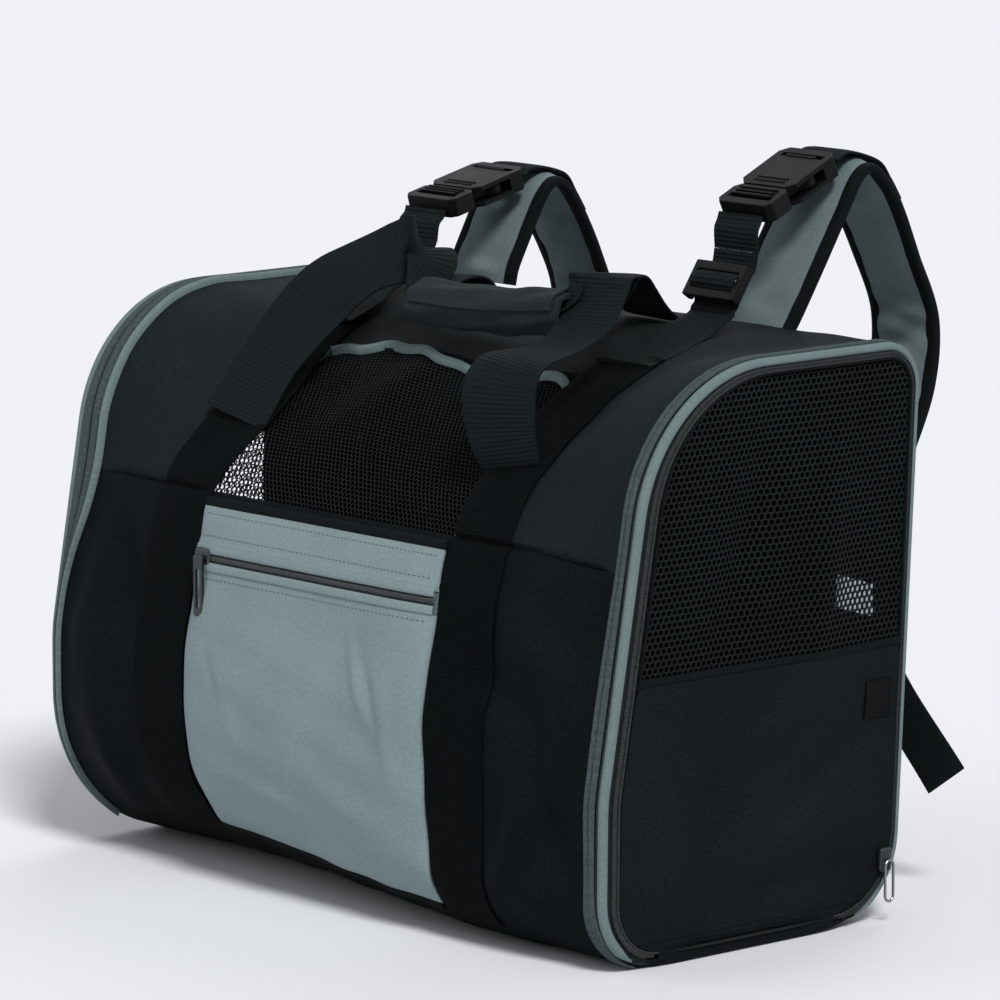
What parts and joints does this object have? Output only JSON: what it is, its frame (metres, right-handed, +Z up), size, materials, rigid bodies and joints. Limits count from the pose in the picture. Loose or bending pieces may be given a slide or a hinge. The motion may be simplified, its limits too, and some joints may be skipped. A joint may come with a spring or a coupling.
{
  "type": "pet carrier bag",
  "caption": "Soft arched pet carrier with a mesh window, zipped mesh end doors, a zipped front pocket, carry handles and padded backpack straps with side-release buckles.",
  "frame": {"origin": "middle of the flat base, on the surface it stands on", "axes": "+X along the bag to the right door, -Y to the pocket side, +Y to the wearer's back, +Z up"},
  "size_m": [0.434, 0.3187, 0.375],
  "materials": {
    "black_fabric": "woven black polyester, matt",
    "grey_fabric": "woven blue-grey polyester, matt",
    "webbing": "ribbed black webbing",
    "net": "black open knit mesh",
    "buckle_plastic": "moulded black plastic, satin",
    "zip_tape": "dark zip tape and coil",
    "zip_metal": "nickel-plated die cast",
    "board": "grey fibre board"
  },
  "bodies": {
    "carrier": {"bottom_panel": "black_fabric", "front_panel": "black_fabric", "arch_panel_right": "black_fabric", "arch_panel_left": "black_fabric", "top_panel": "black_fabric", "back_panel": "black_fabric", "back_pad": "black_fabric", "base_board": "board", "floor_mat": "grey_fabric", "window_mesh": "net", "window_binding": "grey_fabric", "pocket_front": "grey_fabric", "pocket_strip": "grey_fabric", "pocket_zip": "zip_tape", "piping_right": "grey_fabric", "zip_tape_right": "zip_tape", "body_webbing_right": "webbing", "lifter_webbing_right": "webbing", "lower_webbing_right": "webbing", "piping_left": "grey_fabric", "zip_tape_left": "zip_tape", "body_webbing_left": "webbing", "lifter_webbing_left": "webbing", "lower_webbing_left": "webbing"},
    "right_door": {"right_door_panel": "black_fabric", "right_door_mesh": "net", "door_label": "black_fabric"},
    "right_door_slider": {"right_door_slider": "zip_metal"},
    "right_door_puller": {"right_door_puller": "zip_metal"},
    "right_strap": {"strap_pad_right": "grey_fabric", "buckle_socket_right": "buckle_plastic", "socket_tab_right": "webbing", "plug_webbing_right": "webbing", "ladder_lock_right": "buckle_plastic", "strap_tail": "webbing"},
    "right_plug": {"buckle_plug_right": "buckle_plastic"},
    "right_prong_outer": {"buckle_prong_right_outer": "buckle_plastic"},
    "right_prong_inner": {"buckle_prong_right_inner": "buckle_plastic"},
    "right_glide": {"tri_glide_right": "buckle_plastic"},
    "left_door": {"left_door_panel": "black_fabric", "left_door_mesh": "net"},
    "left_door_slider": {"left_door_slider": "zip_metal"},
    "left_door_puller": {"left_door_puller": "zip_metal"},
    "left_strap": {"strap_pad_left": "grey_fabric", "buckle_socket_left": "buckle_plastic", "socket_tab_left": "webbing", "plug_webbing_left": "webbing", "ladder_lock_left": "buckle_plastic"},
    "left_plug": {"buckle_plug_left": "buckle_plastic"},
    "left_prong_outer": {"buckle_prong_left_outer": "buckle_plastic"},
    "left_prong_inner": {"buckle_prong_left_inner": "buckle_plastic"},
    "left_glide": {"tri_glide_left": "buckle_plastic"},
    "pocket_slider": {"pocket_slider": "zip_metal"},
    "pocket_puller": {"pocket_puller": "zip_metal"},
    "handle": {"grip_sleeve": "webbing", "front_handle": "webbing", "rear_handle": "webbing"},
    "grip_flap": {"grip_flap": "webbing"}
  },
  "joints": [
    {"name": "right_door_hinge", "type": "hinge", "parent": "carrier", "child": "right_door", "pos_m": [0.2104, 0, 0.0115], "axis": [0, 1, 0], "range_deg": [0, 90]},
    {"name": "right_door_zip", "type": "slide", "parent": "carrier", "child": "right_door_slider", "axis": [0, 0.0534, 0.9986], "range_m": [0, 0.19]},
    {"name": "right_door_puller_swing", "type": "hinge", "parent": "right_door_slider", "child": "right_door_puller", "pos_m": [0.2162, 0.08727, 0.03161], "axis": [0, -1, 0], "range_deg": [0, 100]},
    {"name": "right_strap_swing", "type": "hinge", "parent": "carrier", "child": "right_strap", "pos_m": [0.113, 0.1, 0.2932], "axis": [1, 0, 0], "range_deg": [-12, 4], "deforming": ["lifter_webbing_right", "lower_webbing_right", "strap_tail"]},
    {"name": "right_buckle_draw", "type": "slide", "parent": "right_strap", "child": "right_plug", "axis": [0, -0.9063, -0.4226], "range_m": [0, 0.03], "deforming": ["plug_webbing_right"]},
    {"name": "right_prong_outer_flex", "type": "hinge", "parent": "right_plug", "child": "right_prong_outer", "pos_m": [0.124, 0.10011, 0.35512], "axis": [0, -0.4226, 0.9063], "range_deg": [0, 7], "stiffness_Nm_per_rad": 0.4},
    {"name": "right_prong_inner_flex", "type": "hinge", "parent": "right_plug", "child": "right_prong_inner", "pos_m": [0.103, 0.10011, 0.35512], "axis": [0, 0.4226, -0.9063], "range_deg": [0, 7], "stiffness_Nm_per_rad": 0.4},
    {"name": "right_glide_slide", "type": "slide", "parent": "right_strap", "child": "right_glide", "axis": [0, 0.5592, 0.829], "range_m": [-0.008, 0.008]},
    {"name": "left_door_hinge", "type": "hinge", "parent": "carrier", "child": "left_door", "pos_m": [-0.2104, 0, 0.0115], "axis": [0, -1, 0], "range_deg": [0, 90]},
    {"name": "left_door_zip", "type": "slide", "parent": "carrier", "child": "left_door_slider", "axis": [0, 0.0534, 0.9986], "range_m": [0, 0.19]},
    {"name": "left_door_puller_swing", "type": "hinge", "parent": "left_door_slider", "child": "left_door_puller", "pos_m": [-0.2162, 0.08727, 0.03161], "axis": [0, 1, 0], "range_deg": [0, 100]},
    {"name": "left_strap_swing", "type": "hinge", "parent": "carrier", "child": "left_strap", "pos_m": [-0.113, 0.103, 0.2932], "axis": [1, 0, 0], "range_deg": [-12, 0.5], "deforming": ["lifter_webbing_left", "lower_webbing_left"]},
    {"name": "left_buckle_draw", "type": "slide", "parent": "left_strap", "child": "left_plug", "axis": [0, -0.9703, -0.2419], "range_m": [0, 0.03], "deforming": ["plug_webbing_left"]},
    {"name": "left_prong_outer_flex", "type": "hinge", "parent": "left_plug", "child": "left_prong_outer", "pos_m": [-0.124, 0.09083, 0.33494], "axis": [0, 0.2419, -0.9703], "range_deg": [0, 7], "stiffness_Nm_per_rad": 0.4},
    {"name": "left_prong_inner_flex", "type": "hinge", "parent": "left_plug", "child": "left_prong_inner", "pos_m": [-0.103, 0.09083, 0.33494], "axis": [0, -0.2419, 0.9703], "range_deg": [0, 7], "stiffness_Nm_per_rad": 0.4},
    {"name": "left_glide_slide", "type": "slide", "parent": "left_strap", "child": "left_glide", "axis": [0, 0.8191, 0.5736], "range_m": [-0.003, 0.008]},
    {"name": "pocket_zip_slide", "type": "slide", "parent": "carrier", "child": "pocket_slider", "axis": [1, 0, 0], "range_m": [0, 0.16]},
    {"name": "pocket_puller_swing", "type": "hinge", "parent": "pocket_slider", "child": "pocket_puller", "pos_m": [-0.08, -0.11245, 0.17029], "axis": [-1, 0, 0], "range_deg": [0, 100]},
    {"name": "handle_lift", "type": "slide", "parent": "carrier", "child": "handle", "axis": [0, 0, 1], "range_m": [0, 0.06], "deforming": ["front_handle", "rear_handle"]},
    {"name": "grip_flap_hinge", "type": "hinge", "parent": "handle", "child": "grip_flap", "pos_m": [0.02, 0.003, 0.30754], "axis": [-1, 0, 0], "range_deg": [0, 110]}
  ],
  "couplings": [
    {"joint": "right_prong_inner_flex", "follows": "right_prong_outer_flex", "ratio": 1},
    {"joint": "left_prong_inner_flex", "follows": "left_prong_outer_flex", "ratio": 1}
  ]
}
